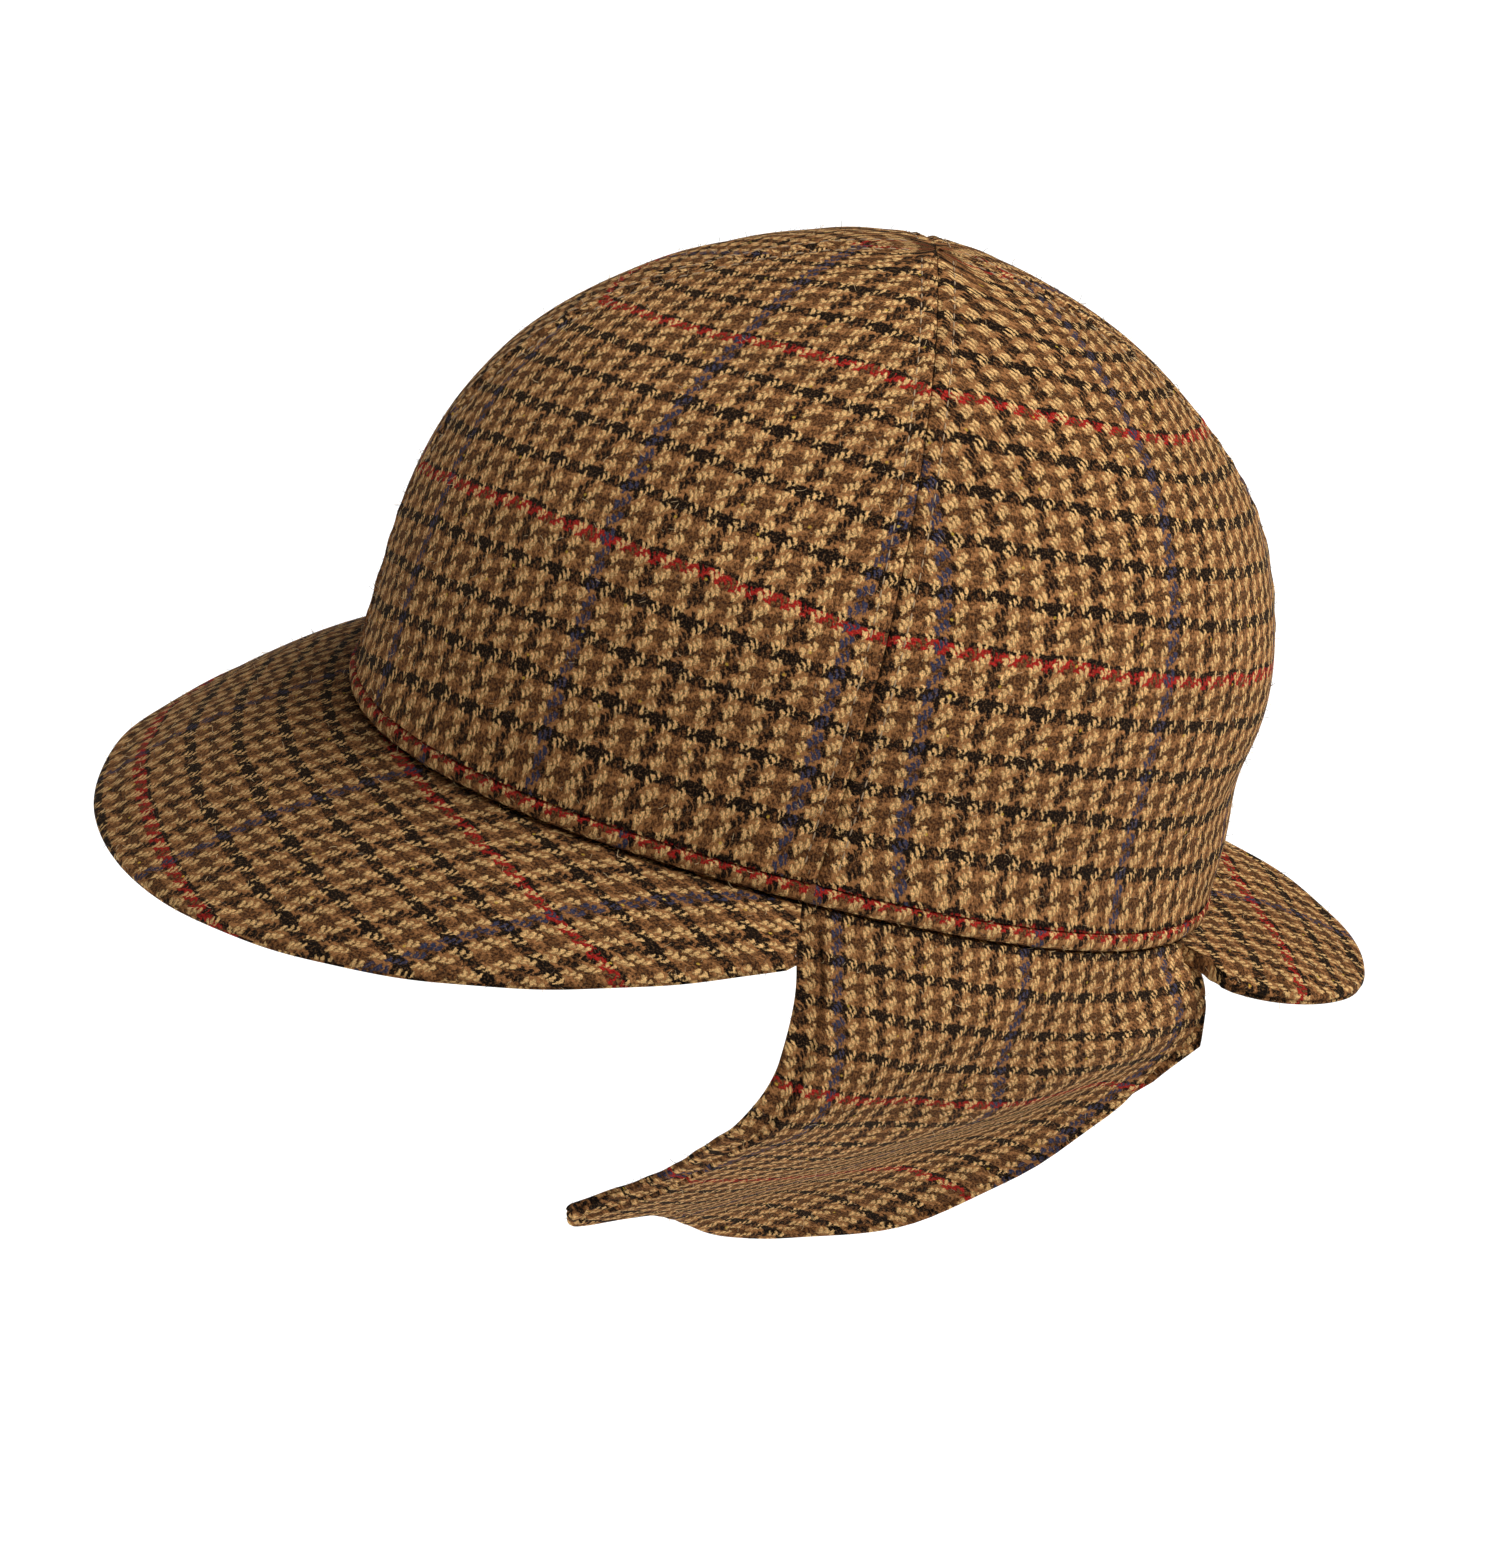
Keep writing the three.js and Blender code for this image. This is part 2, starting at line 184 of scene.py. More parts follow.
def cloth_piece(name, outer, inner, weave, bulge, material):
    """A closed piece of cloth from grids of millimetres: an outer face, an inner face and
    a rounded edge between them that stands out by bulge, with a narrow slit along its
    middle where two layers meet. weave holds thread counts."""
    rows, columns = outer.shape[:2]
    ring = (
        [(0, j) for j in range(columns - 1)]
        + [(i, columns - 1) for i in range(rows - 1)]
        + [(rows - 1, j) for j in range(columns - 1, 0, -1)]
        + [(i, 0) for i in range(rows - 1, 0, -1)]
    )
    ring_rows = np.array([place[0] for place in ring])
    ring_columns = np.array([place[1] for place in ring])
    inward_rows = np.clip(ring_rows, 1, rows - 2)
    inward_columns = np.clip(ring_columns, 1, columns - 2)
    edge = outer[ring_rows, ring_columns]
    under = inner[ring_rows, ring_columns]
    beyond = edge - outer[inward_rows, inward_columns]
    across = edge - under
    thickness = np.linalg.norm(across, axis=-1, keepdims=True)
    across = across / thickness
    beyond = beyond - across * (beyond * across).sum(-1, keepdims=True)
    beyond = beyond / np.maximum(np.linalg.norm(beyond, axis=-1, keepdims=True), 1e-9)
    reach = bulge[ring_rows, ring_columns][:, None]
    inner_weave = weave * np.array([-1, 1]) + np.array([3.5, 0])
    places = [outer.reshape(-1, 3), inner.reshape(-1, 3)]
    threads = [weave.reshape(-1, 2), inner_weave.reshape(-1, 2)]
    edge_threads = weave[ring_rows, ring_columns]
    outward_threads = edge_threads - weave[inward_rows, inward_columns]
    outward_length = np.linalg.norm(outward_threads, axis=-1, keepdims=True)
    outward_threads = outward_threads / np.maximum(outward_length, 1e-9)
    turns = (20, 45, 68, 84, 90, 96, 112, 135, 160)
    slit_depth = 0.45
    slit_degrees = 7
    for angle in turns:
        slit = 1 - slit_depth * math.exp(-(((angle - 90) / slit_degrees) ** 2))
        sideways = math.cos(math.radians(angle))
        places.append(
            (edge + under) / 2
            + across * thickness / 2 * sideways
            + beyond * reach * math.sin(math.radians(angle)) * slit
        )
        threads.append(edge_threads + outward_threads * (angle / 180) * (thickness + reach) / weft_pitch)
    count = rows * columns
    ring_start = 2 * count
    ring_size = len(ring)
    faces = []
    for i in range(rows - 1):
        for j in range(columns - 1):
            a = i * columns + j
            faces.append((a, a + columns, a + columns + 1, a + 1))
            faces.append((count + a, count + a + 1, count + a + columns + 1, count + a + columns))
    loops = [ring_rows * columns + ring_columns]
    loops += [np.arange(ring_size) + ring_start + k * ring_size for k in range(len(turns))]
    loops += [count + ring_rows * columns + ring_columns]
    for near, far in zip(loops[:-1], loops[1:]):
        for k in range(ring_size):
            after = (k + 1) % ring_size
            faces.append((int(near[k]), int(near[after]), int(far[after]), int(far[k])))
    return cloth_object(name, np.concatenate(places), np.concatenate(threads), faces, material)


def cloth_object(name, places, threads, faces, material):
    """An object in metres from places in millimetres, with its weave in a UV map."""
    mesh = bpy.data.meshes.new(name)
    mesh.from_pydata((places * 0.001).tolist(), [], faces)
    corners = np.array([mesh.vertices[a].co for a in range(len(mesh.vertices))])
    volume = 0.0
    for polygon in mesh.polygons:
        first, second, third, last = (corners[k] for k in polygon.vertices)
        volume += np.dot(first, np.cross(second, third)) + np.dot(first, np.cross(third, last))
    uv_map = mesh.uv_layers.new(name="weave")
    index = np.zeros(len(mesh.loops), dtype=np.int32)
    mesh.loops.foreach_get("vertex_index", index)
    uv_map.data.foreach_set("uv", threads[index].astype(np.float32).ravel())
    if volume < 0:
        mesh.flip_normals()
    mesh.polygons.foreach_set("use_smooth", [True] * len(mesh.polygons))
    mesh.materials.append(material)
    made = bpy.data.objects.new(name, mesh)
    bpy.context.collection.objects.link(made)
    return made


class Wire:
    """A shader socket that Python's operators work on."""

    def __init__(self, tree, socket):
        self.tree = tree
        self.socket = socket

    def maths(self, operation, *values):
        return make_node(self.tree, "ShaderNodeMath", {"operation": operation}, values)

    def __add__(self, other):
        return self.maths("ADD", self, other)

    def __radd__(self, other):
        return self.maths("ADD", other, self)

    def __sub__(self, other):
        return self.maths("SUBTRACT", self, other)

    def __rsub__(self, other):
        return self.maths("SUBTRACT", other, self)

    def __mul__(self, other):
        return self.maths("MULTIPLY", self, other)

    def __pow__(self, other):
        return self.maths("POWER", self, other)

    def __mod__(self, other):
        return self.maths("FLOORED_MODULO", self, other)

    def __lt__(self, other):
        return self.maths("LESS_THAN", self, other)

    def __gt__(self, other):
        return self.maths("GREATER_THAN", self, other)

    def __abs__(self):
        return self.maths("ABSOLUTE", self)

    def __floor__(self):
        return self.maths("FLOOR", self)


def make_node(tree, kind, settings, values, output=0):
    """Any node: its settings first, then its sockets' values or links."""
    node = tree.nodes.new(kind)
    for key, value in settings.items():
        setattr(node, key, value)
    pairs = values.items() if isinstance(values, dict) else enumerate(values)
    for key, value in pairs:
        if isinstance(value, Wire):
            tree.links.new(value.socket, node.inputs[key])
        else:
            node.inputs[key].default_value = value
    return Wire(tree, node.outputs[output])


def mix_colours(tree, share, below, above):
    settings = {"data_type": "RGBA", "blend_type": "MIX"}
    return make_node(tree, "ShaderNodeMix", settings, {0: share, 6: below, 7: above}, output=2)


weave_repeat = 12
overcheck_repeat = 60
black_wool = (0.005, 0.0035, 0.003, 1)
brown_wool = (0.040, 0.017, 0.009, 1)
fox_wool = (0.26, 0.105, 0.034, 1)
cream_wool = (0.80, 0.485, 0.195, 1)
camel_wool = (0.385, 0.168, 0.060, 1)
red_wool = (0.42, 0.016, 0.014, 1)
blue_wool = (0.034, 0.040, 0.080, 1)
yellow_fleck = (0.62, 0.40, 0.05, 1)
dark_fuzz = (0.085, 0.034, 0.014, 1)
pale_fuzz = (0.27, 0.145, 0.062, 1)


def tweed(name, painted_shade):
    """Two-up two-down twill of three black, three light, three brown and three light
    threads both ways, with a red line in the weft and a blue one in the warp. The second
    argument scales the whole colour down, a painted shade for pieces that should look less lit."""
    material = bpy.data.materials.new(name)
    material.use_nodes = True
    tree = material.node_tree
    shader = tree.nodes["Principled BSDF"]
    shader.inputs["Roughness"].default_value = 0.92
    shader.inputs["Specular IOR Level"].default_value = 0.04
    shader.inputs["Sheen Weight"].default_value = 0.015
    shader.inputs["Sheen Roughness"].default_value = 0.4
    shader.inputs["Sheen Tint"].default_value = (1, 0.82, 0.6, 1)

    uv = make_node(tree, "ShaderNodeUVMap", {"uv_map": "weave"}, {})

    def noise(scale, detail, offset=(0, 0, 0), stretch=(1, 1, 1)):
        moved = make_node(
            tree, "ShaderNodeMapping", {"vector_type": "POINT"},
            {"Vector": uv, "Location": offset, "Scale": stretch},
        )
        return make_node(
            tree, "ShaderNodeTexNoise", {"noise_dimensions": "2D"},
            {"Vector": moved, "Scale": scale, "Detail": detail, "Roughness": 0.6},
        )

    plain_u = make_node(tree, "ShaderNodeSeparateXYZ", {}, {0: uv})
    plain_v = Wire(tree, plain_u.socket.node.outputs[1])
    drift = noise(0.09, 2)
    drift_v = noise(0.09, 2, offset=(31, 17, 0))
    ragged = noise(1.3, 4, offset=(7, 3, 0))
    ragged_v = noise(1.3, 4, offset=(57, 23, 0))
    fuzz = noise(5.5, 2, offset=(71, 11, 0))
    loose_u = plain_u + (drift - 0.5) * 2.6 + (ragged - 0.5) * 1.5 + (fuzz - 0.5) * 0.8
    loose_v = plain_v + (drift_v - 0.5) * 2.6 + (ragged_v - 0.5) * 1.5 - (fuzz - 0.5) * 0.8

    lean = abs((loose_v - loose_u) % 4 - 2) - 1
    u = loose_u - lean * 0.34
    v = loose_v + lean * 0.16
    end = math.floor(u)
    pick = math.floor(v)
    over = ((pick - end) % 4) < 2

    mottle = (noise(1.6, 5, offset=(47, 61, 0)) - 0.5) * 4.6 + 0.40
    brown = mix_colours(tree, mottle, brown_wool, fox_wool)

    def yarn(thread, light, line):
        place = thread % weave_repeat
        dark = (place > 5.5) * (place < 8.5)
        colour = mix_colours(tree, dark, light, brown)
        colour = mix_colours(tree, place < 2.5, colour, black_wool)
        return mix_colours(tree, ((thread + 1) % overcheck_repeat) < 2.5, colour, line)

    warp = yarn(end, cream_wool, blue_wool)
    weft = yarn(pick, camel_wool, red_wool)
    along_end = abs((u - end) - 0.5)
    along_pick = abs((v - pick) - 0.5)
    strong_pick = (pick % weave_repeat) < 2.5
    line_pick = ((pick + 1) % overcheck_repeat) < 2.5
    cover = over * (along_end < 0.38 - strong_pick * 0.12 + line_pick * 0.09)
    colour = mix_colours(tree, cover, weft, warp)

    across = (along_end * 1.25) * cover + along_pick * (1 - cover)
    round_yarn = 1 - (across * 1.9) ** 2
    strand = (noise(2.6, 4, offset=(3, 9, 0), stretch=(1.0, 0.5, 1)) - 0.5) * 2.4
    fine = (noise(8.0, 3, offset=(13, 5, 0)) - 0.5) * 2.0
    height = round_yarn * 0.5 + strand * 0.4 + fine * 0.25 + 0.3

    pale_hair = (noise(2.1, 5, offset=(91, 33, 0)) - 0.53) * 3.4
    dark_hair = (noise(2.4, 5, offset=(23, 77, 0)) - 0.54) * 3.4
    colour = mix_colours(tree, dark_hair, colour, dark_fuzz)
    colour = mix_colours(tree, pale_hair, colour, pale_fuzz)
    # Painted shade: the colour darkens towards each yarn's edges and in the low spots of the same fibre
    # relief that the bump draws, which also mottles the wool's tone.
    painted_yarn_shade = round_yarn * 0.45 + strand * 0.95 + fine * 0.6 + 0.62
    cloud = noise(0.035, 3, offset=(2, 41, 0))
    # The first factor is the painted yarn shade above; the second is a slow random change of tone times
    # the piece's painted shade.
    for factor in (painted_yarn_shade, (0.86 + cloud * 0.28) * painted_shade):
        colour = make_node(
            tree, "ShaderNodeVectorMath", {"operation": "SCALE"}, {0: colour, "Scale": factor}
        )
    flecks = make_node(
        tree, "ShaderNodeTexVoronoi", {"voronoi_dimensions": "2D"},
        {"Vector": uv, "Scale": 0.06, "Randomness": 1.0},
    )
    fleck = (flecks + ragged * 0.03) < 0.036
    colour = mix_colours(tree, fleck * 0.75, colour, yellow_fleck)
    tree.links.new(colour.socket, shader.inputs["Base Color"])
    bump = make_node(
        tree, "ShaderNodeBump", {}, {"Strength": 0.85, "Distance": 0.0004, "Height": height}
    )
    tree.links.new(bump.socket, shader.inputs["Normal"])
    return material


crown_tweed = tweed("crown_tweed", 1.0)
crown_grid = {"up": 110, "round": 84}
crown_panels = {
    "crown_front_left": {"from": -90, "front": True, "side": 1},
    "crown_rear_left": {"from": 0, "front": False, "side": 1},
    "crown_rear_right": {"from": 90, "front": False, "side": -1},
    "crown_front_right": {"from": 180, "front": True, "side": -1},
}
# Soft dents: degrees round the crown, millimetres up the cloth, spreads and depth
crown_dents = (
    {"turn": -50, "up": 122, "spread_turn": 19, "spread_up": 17, "depth": 2.2},
    {"turn": -36, "up": 96, "spread_turn": 10, "spread_up": 26, "depth": -0.9},
    {"turn": 76, "up": 34, "spread_turn": 17, "spread_up": 13, "depth": 2.6},
    {"turn": 38, "up": 52, "spread_turn": 24, "spread_up": 22, "depth": -0.8},
    {"turn": 200, "up": 70, "spread_turn": 26, "spread_up": 26, "depth": 1.4},
    {"turn": 128, "up": 112, "spread_turn": 22, "spread_up": 20, "depth": 1.6},
)
# Relief along the seams, in millimetres: the groove itself, deeper low down, the dent
# of the topstitching, the folded allowance under the cloth and its puckers
seam_groove = {"depth": 0.55, "deeper": 0.6, "fades_at": 80, "spread": 0.75}
stitch_groove = {"depth": 0.22, "spread": 0.7}
allowance_ridge = {"height": 0.26, "from_seam": 1.9, "spread": 1.1}
seam_puckers = {"height": 0.16, "wave": 1.25, "drift": 9, "from_seam": 2.5, "spread": 4}
foot_ridge = {"height": 0.3, "spread": 1.2}
# Where the weave starts on each panel, in millimetres of cloth
front_weave_start = -11
rear_weave_start = 7
weave_level = -68.5
seam_lines = {}
hairy_pieces = []
for name, panel in crown_panels.items():
    shares = crowded(np.linspace(0, 1, crown_grid["round"] + 1), 0.62)
    climb = np.linspace(0, 1, crown_grid["up"] + 1)
    foot = (roll_height + piece_gap) / crown_height
    rise = foot + (crown_top_share - foot) * np.sin(climb * np.pi / 2)
    rise_grid, share_grid = np.meshgrid(rise, shares, indexing="ij")
    middle = math.radians(panel["from"] + 45)
    reach_middle = crown_reach(middle, rise_grid)
    clear = np.minimum(seam_gap / 2 / (crown_half_width * np.maximum(reach_middle, 0.012)), 0.3)
    angle = math.radians(panel["from"]) + clear + (math.pi / 2 - 2 * clear) * share_grid
    face = crown_point(angle, rise_grid)
    up = np.concatenate([
        np.zeros((1, face.shape[1])),
        np.cumsum(np.linalg.norm(np.diff(face, axis=0), axis=-1), axis=0),
    ]) + roll_height
    offset_turn = np.degrees(angle - middle)
    radius = crown_mean_radius * crown_reach(angle, rise_grid)
    edge_distance = np.radians(45 - np.abs(offset_turn)) * radius

    tilt = 0.17 * np.maximum(up - 50, 0) * panel["side"]
    if panel["front"]:
        across_cloth = np.radians(offset_turn) * radius + tilt + front_weave_start
        dip = 0.00325 * np.minimum(offset_turn * panel["side"] - 10, 0) ** 2
    else:
        spread_foot = 8 * np.maximum(1 - up / 45, 0) ** 2 * panel["side"]
        start = rear_weave_start * panel["side"]
        across_cloth = np.radians(offset_turn) * radius - tilt - spread_foot + start
        dip = 0
    gathered = 6.5 * np.maximum(1 - up / 40, 0) ** 2
    curved = 3.5 * (offset_turn / 45) ** 2 * np.minimum(up / 40, 1)
    up_cloth = up + curved + gathered + dip + weave_level
    weave = np.stack([across_cloth / warp_pitch + 1, up_cloth / weft_pitch + 1], axis=-1)

    low_down = 1 - smooth(up / seam_groove["fades_at"])
    groove_depth = seam_groove["depth"] + seam_groove["deeper"] * low_down
    drifting = up / seam_puckers["wave"] + 2 * np.sin(up / seam_puckers["drift"])
    relief = (
        -groove_depth * bell(edge_distance, seam_groove["spread"])
        - stitch_groove["depth"] * bell(edge_distance - seam_allowance, stitch_groove["spread"])
        + allowance_ridge["height"]
        * bell(edge_distance - allowance_ridge["from_seam"], allowance_ridge["spread"])
        + seam_puckers["height"] * np.sin(drifting)
        * bell(edge_distance - seam_puckers["from_seam"], seam_puckers["spread"])
        + foot_ridge["height"] * bell(up - roll_height, foot_ridge["spread"])
    ) * smooth(radius / 30)
    waves = (
        0.42 * np.sin(up / 17 + angle * 3.1) * np.cos(angle * 5.3 + 0.7)
        + 0.22 * np.sin(up / 8.3 - angle * 7.7) * np.cos(angle * 11 + up / 31)
    )
    relief = relief + waves * smooth((up - roll_height) / 25) * smooth((178 - up) / 40)
    for dent in crown_dents:
        around = np.degrees(np.arctan2(
            np.sin(angle - math.radians(dent["turn"])), np.cos(angle - math.radians(dent["turn"])),
        ))
        round_share = bell(around, dent["spread_turn"])
        relief = relief - dent["depth"] * round_share * bell(up - dent["up"], dent["spread_up"])

    seam_angles = math.radians(panel["from"]) + math.pi / 2 * share_grid
    normals = -grid_normals(crown_point(seam_angles, np.minimum(rise_grid, 0.997)))
    normals[0, :, 2] = 0
    normals[0] = normals[0] / np.linalg.norm(normals[0], axis=-1, keepdims=True)
    # The gores meet in a point, so the last rows turn evenly to straight up
    near_top = int(np.searchsorted(rise, 0.99))
    closing_in = np.clip(reach_middle[near_top:] / reach_middle[near_top], 0, 1)[..., None]
    normals[near_top:] = normals[near_top] * closing_in + np.array([0, 0, 1]) * (1 - closing_in)
    normals = normals / np.linalg.norm(normals, axis=-1, keepdims=True)
    outer = face + normals * relief[..., None]
    inner = outer - normals * crown_cloth
    bulge = np.zeros_like(relief)
    made = cloth_piece(name, outer, inner, weave, bulge, crown_tweed)
    hairy_pieces.append((made, "crown_tweed"))
    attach(made, "root")
    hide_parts(name)
    for side, lines in ((0, "start"), (1, "end")):
        line = []
        for i in range(3, crown_grid["up"] + 1):
            distances = edge_distance[i] if side == 0 else edge_distance[i][::-1]
            half = crown_grid["round"] // 2
            if distances[half] < seam_allowance * 1.6:
                break
            k = np.interp(seam_allowance, distances[:half], np.arange(half))
            if side:
                k = crown_grid["round"] - k
            low = int(math.floor(k))
            blend = k - low
            on_cloth = outer[i, low] * (1 - blend) + outer[i, low + 1] * blend
            line.append((on_cloth + normals[i, low] * 0.06).tolist())
        seam_lines[f"{name}_{lines}"] = line

# Topstitching: a line of fine pale thread on each side of every crown seam, sewn through
# the cloth and the seam allowance, with each stitch pulled down into the wool.
stitch_spacing = 3.0
stitch_length = 2.0
stitch_thread = 0.42
stitch_thread_material = bpy.data.materials.new("seam_thread")
stitch_thread_material.use_nodes = True
thread_tree = stitch_thread_material.node_tree
thread_shader = thread_tree.nodes["Principled BSDF"]
thread_shader.inputs["Roughness"].default_value = 0.7
thread_shader.inputs["Sheen Weight"].default_value = 0.2
thread_place = make_node(thread_tree, "ShaderNodeTexCoord", {}, {}, output="Object")
thread_mottle = make_node(
    thread_tree, "ShaderNodeTexNoise", {}, {"Vector": thread_place, "Scale": 900, "Detail": 3}
)
thread_colour = mix_colours(thread_tree, thread_mottle, (0.17, 0.10, 0.05, 1), (0.50, 0.34, 0.18, 1))
thread_tree.links.new(thread_colour.socket, thread_shader.inputs["Base Color"])


def modifier_tree(name, sizes):
    """A Geometry Nodes tree with a geometry input and output and named sizes."""
    tree = bpy.data.node_groups.new(name, "GeometryNodeTree")
    tree.interface.new_socket(name="Geometry", in_out="INPUT", socket_type="NodeSocketGeometry")
    names = {}
    for size in sizes:
        socket = tree.interface.new_socket(name=size, in_out="INPUT", socket_type="NodeSocketFloat")
        names[size] = socket.identifier
    tree.interface.new_socket(name="Geometry", in_out="OUTPUT", socket_type="NodeSocketGeometry")
    entry = tree.nodes.new("NodeGroupInput")
    leave = tree.nodes.new("NodeGroupOutput")
    return tree, names, entry, leave


def joined(tree, kind, links, settings=None):
    node = tree.nodes.new(kind)
    for key, value in (settings or {}).items():
        setattr(node, key, value)
    for key, value in links.items():
        if isinstance(value, bpy.types.NodeSocket):
            tree.links.new(value, node.inputs[key])
        else:
            node.inputs[key].default_value = value
    return node


def baked(holder, name):
    """A plain mesh object of what a modifier makes, in place of the one that holds it."""
    graph = bpy.context.evaluated_depsgraph_get()
    mesh = bpy.data.meshes.new_from_object(holder.evaluated_get(graph))
    mesh.name = name
    bpy.data.objects.remove(holder)
    made = bpy.data.objects.new(name, mesh)
    bpy.context.collection.objects.link(made)
    return made


stitch_tree, stitch_names, entry, leave = modifier_tree("stitches", ["Spacing", "Length", "Thread"])
path = joined(stitch_tree, "GeometryNodeMeshToCurve", {0: entry.outputs["Geometry"]})
spaced = joined(
    stitch_tree, "GeometryNodeResampleCurve",
    {"Curve": path.outputs[0], "Length": entry.outputs["Spacing"]}, {"mode": "LENGTH"},
)
along = joined(stitch_tree, "GeometryNodeInputTangent", {})
turned = joined(
    stitch_tree, "FunctionNodeAlignRotationToVector", {"Vector": along.outputs[0]}, {"axis": "Z"},
)
stitch_size = joined(
    stitch_tree, "ShaderNodeCombineXYZ",
    {0: entry.outputs["Thread"], 1: entry.outputs["Thread"], 2: entry.outputs["Length"]},
)
stitch_body = joined(stitch_tree, "GeometryNodeMeshUVSphere", {"Segments": 6, "Rings": 5, "Radius": 0.5})
placed = joined(
    stitch_tree, "GeometryNodeInstanceOnPoints",
    {
        "Points": spaced.outputs[0], "Instance": stitch_body.outputs[0],
        "Rotation": turned.outputs[0], "Scale": stitch_size.outputs[0],
    },
)
real = joined(stitch_tree, "GeometryNodeRealizeInstances", {0: placed.outputs[0]})
rounded = joined(stitch_tree, "GeometryNodeSetShadeSmooth", {0: real.outputs[0]})
coated = joined(stitch_tree, "GeometryNodeSetMaterial", {0: rounded.outputs[0]})
coated.inputs["Material"].default_value = stitch_thread_material
stitch_tree.links.new(coated.outputs[0], leave.inputs[0])

for name in crown_panels:
    places = []
    edges = []
    for lines in ("start", "end"):
        line = seam_lines[f"{name}_{lines}"]
        edges += [(len(places) + k, len(places) + k + 1) for k in range(len(line) - 1)]
        places += line
    path_mesh = bpy.data.meshes.new("stitch_path")
    path_mesh.from_pydata((np.array(places) * 0.001).tolist(), edges, [])
    holder = bpy.data.objects.new("stitch_path", path_mesh)
    bpy.context.collection.objects.link(holder)
    modifier = holder.modifiers.new("stitches", "NODES")
    modifier.node_group = stitch_tree
    modifier[stitch_names["Spacing"]] = stitch_spacing * 0.001
    modifier[stitch_names["Length"]] = stitch_length * 0.001
    modifier[stitch_names["Thread"]] = stitch_thread * 0.001
    stitches = baked(holder, name.replace("crown", "topstitching"))
    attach(stitches, "root")

# Base roll: a narrow roll of the same tweed round the foot of the crown, turned under
# and stitched down over the seam where the peaks and ear flaps are sewn in.
roll_proud = 0.8
roll_depth = 4.2
roll_grid = {"round": 420, "section": 20}
# The roll's copy of the tweed is painted 8 % darker than the crown's, as painted shade.
roll_tweed = tweed("roll_tweed", 0.92)
around = np.arange(roll_grid["round"]) / roll_grid["round"] * 2 * np.pi
section = (np.arange(roll_grid["section"]) + 0.5) / roll_grid["section"] * 2 * np.pi
angle, turn_section = np.meshgrid(around, section, indexing="ij")
outward = seam_outward(angle)
lumps = 1 + 0.05 * np.sin(angle * 37 + 1.3 * np.sin(angle * 9)) + 0.04 * np.sin(angle * 61)
squared = [
    np.sign(value) * np.abs(value) ** 0.7
    for value in (np.cos(turn_section), np.sin(turn_section))
]
places = (
    seam_point(angle)
    + outward * (roll_proud - roll_depth / 2 + squared[0] * roll_depth / 2 * lumps)[..., None]
    + np.array([0, 0, 1]) * (roll_height / 2 + 0.2 + squared[1] * (roll_height / 2 - 0.1))[..., None]
)
run = np.concatenate([[0], np.cumsum(np.linalg.norm(np.diff(seam_point(around), axis=0), axis=-1))])
closing = run[-1] + np.linalg.norm(seam_point(around[:1]) - seam_point(around[-1:]))
repeats = round(closing / warp_pitch / weave_repeat) * weave_repeat
faces = []
for i in range(roll_grid["round"]):
    for j in range(roll_grid["section"]):
        a = i * roll_grid["section"] + j
        b = ((i + 1) % roll_grid["round"]) * roll_grid["section"] + j
        c = ((i + 1) % roll_grid["round"]) * roll_grid["section"] + (j + 1) % roll_grid["section"]
        d = i * roll_grid["section"] + (j + 1) % roll_grid["section"]
        faces.append((a, b, c, d))
height = np.where(turn_section > np.pi, turn_section - 2 * np.pi, turn_section)
threads = np.stack([
    np.broadcast_to((run / closing * repeats)[:, None], angle.shape),
    height / np.pi * 8 - 1.35 + 0 * angle,
], axis=-1)
roll = cloth_object("base_roll", places.reshape(-1, 3), threads.reshape(-1, 2), faces, roll_tweed)
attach(roll, "root")
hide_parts("base_roll")
hairy_pieces.append((roll, "roll_tweed"))

# Peaks: two layers of tweed over a stiffener, sewn into the seam under the roll, bagged
# out and pressed, so that the edge is a soft rounded fold with its join in the middle.
peak_thickness = 4.2
# The peaks' copy of the tweed is painted 18 % darker than the crown's, as painted shade on the peaks.
peak_tweed = tweed("peak_tweed", 0.82)
peak_shapes = {
    "front_peak": {
        "from": -179.2, "to": -0.8, "depth": 66.5, "end": 16.6, "droop": 40.6, "end_droop": 25.3,
        "camber": 3, "taper": 1.02, "rows": 60, "columns": 320,
        "grain": 0, "start": (-50.0, -5.0), "bow": 0.0024,
    },
    "rear_peak": {
        "from": 64.7, "to": 115.3, "depth": 43.4, "end": 15.6, "droop": 7.5, "end_droop": 9.1,
        "camber": 2, "taper": 0.93, "rows": 44, "columns": 110,
        "grain": -12, "start": (0.6, -14.2), "bow": 0,
    },
}
